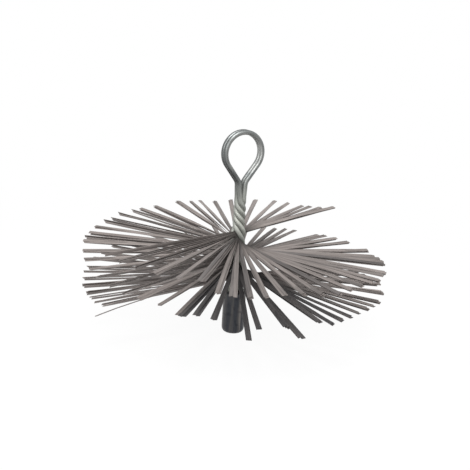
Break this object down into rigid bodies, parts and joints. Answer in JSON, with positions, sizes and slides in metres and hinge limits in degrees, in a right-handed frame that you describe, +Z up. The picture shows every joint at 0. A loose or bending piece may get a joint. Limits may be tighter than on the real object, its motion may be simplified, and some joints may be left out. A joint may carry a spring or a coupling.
{
  "type": "chimney sweep brush",
  "caption": "Flat steel strip flue brush: two twisted wires with eyes clamp a spiral of strips, with a threaded socket below.",
  "frame": {"origin": "centre of the socket sleeve's lower face, at the mouth of the threaded rod socket", "axes": "+Z up the stem to the eyes; the eyes stand in planes along XZ, so -Y faces the front eye wire"},
  "size_m": [0.2494, 0.2499, 0.1709],
  "materials": {
    "galvanised_wire": "zinc coated, satin",
    "strip_steel": "dull spring steel, faintly brown",
    "sleeve_steel": "dark oiled steel"
  },
  "bodies": {
    "root": {"front_eye_wire": "galvanised_wire", "rear_eye_wire": "galvanised_wire", "socket_sleeve": "sleeve_steel", "bristle_pack_01": "strip_steel", "bristle_pack_02": "strip_steel", "bristle_pack_03": "strip_steel", "bristle_pack_04": "strip_steel", "bristle_pack_05": "strip_steel", "bristle_pack_06": "strip_steel", "bristle_pack_07": "strip_steel", "bristle_pack_08": "strip_steel", "bristle_pack_09": "strip_steel", "bristle_pack_10": "strip_steel", "bristle_pack_11": "strip_steel", "bristle_pack_12": "strip_steel", "bristle_pack_13": "strip_steel", "bristle_pack_14": "strip_steel", "bristle_pack_15": "strip_steel", "bristle_pack_16": "strip_steel", "bristle_pack_17": "strip_steel", "bristle_pack_18": "strip_steel", "bristle_pack_19": "strip_steel", "bristle_pack_20": "strip_steel", "bristle_pack_21": "strip_steel", "bristle_pack_22": "strip_steel", "bristle_pack_23": "strip_steel", "bristle_pack_24": "strip_steel", "bristle_pack_25": "strip_steel", "bristle_pack_26": "strip_steel"}
  },
  "joints": []
}
